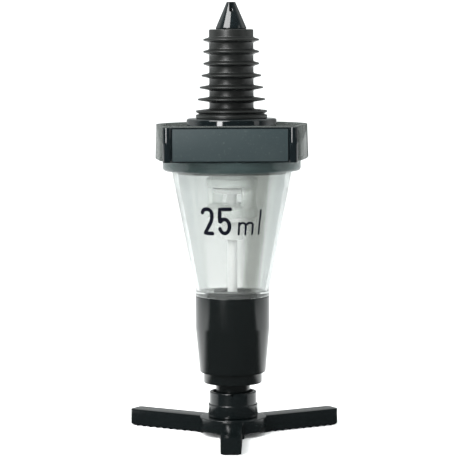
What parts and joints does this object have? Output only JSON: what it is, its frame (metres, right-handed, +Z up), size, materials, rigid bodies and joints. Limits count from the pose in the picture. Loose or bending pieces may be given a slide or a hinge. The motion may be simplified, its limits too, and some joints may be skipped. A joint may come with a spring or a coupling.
{
  "type": "liquor optic dispenser",
  "caption": "Spirit measure for an inverted bottle: finned cork, D-shaped head, clear conical chamber, black barrel and sprung press arms.",
  "frame": {"origin": "centre of the spout tube's mouth, level with the underside of the press arms", "axes": "+Z up along the axis towards the cork and nozzle, -Y to the front with the fascia, +X to the viewer's right"},
  "size_m": [0.0756, 0.0685, 0.152],
  "materials": {
    "black_gloss": "glossy moulded",
    "black_rubber": "matt",
    "white_plastic": "satin moulded",
    "smoke_clear": "clear smoke",
    "panel_satin": "satin",
    "black_matte": "matt moulded",
    "seal_rubber": "matt",
    "clear": "clear",
    "black_satin": "satin moulded",
    "spring_steel": "drawn wire"
  },
  "bodies": {
    "measure": {"nozzle_tip": "black_gloss", "cork": "black_rubber", "inlet_tube": "white_plastic", "neck_cap": "black_gloss", "head_shell": "smoke_clear", "fascia": "black_gloss", "fascia_panel": "panel_satin", "head_core": "black_matte", "core_neck": "black_matte", "core_seal": "seal_rubber", "skirt_ring": "smoke_clear", "chamber": "clear", "valve_cage": "clear", "cage_bush": "white_plastic", "outlet_bush": "black_matte", "outlet_gasket": "seal_rubber", "barrel": "black_satin", "neck_ring": "black_satin", "return_spring": "spring_steel"},
    "plunger": {"inlet_plug": "white_plastic", "inlet_plug_seal": "seal_rubber", "outlet_plug": "white_plastic", "outlet_plug_seal": "seal_rubber", "stem": "white_plastic", "stem_clips": "spring_steel", "stem_spider": "white_plastic", "spout_tube": "black_satin", "drip_collar": "black_satin", "arm_clip": "spring_steel"},
    "arms": {"press_arms": "black_satin"}
  },
  "joints": [
    {"name": "plunger_lift", "type": "slide", "parent": "measure", "child": "plunger", "axis": [0, 0, 1], "range_m": [0, 0.0085], "stiffness_N_per_m": 500, "springref_m": -0.006, "deforming": ["return_spring"]},
    {"name": "arms_swivel", "type": "hinge", "parent": "plunger", "child": "arms", "pos_m": [0, 0, 0.004], "axis": [0, 0, 1], "continuous": true}
  ]
}
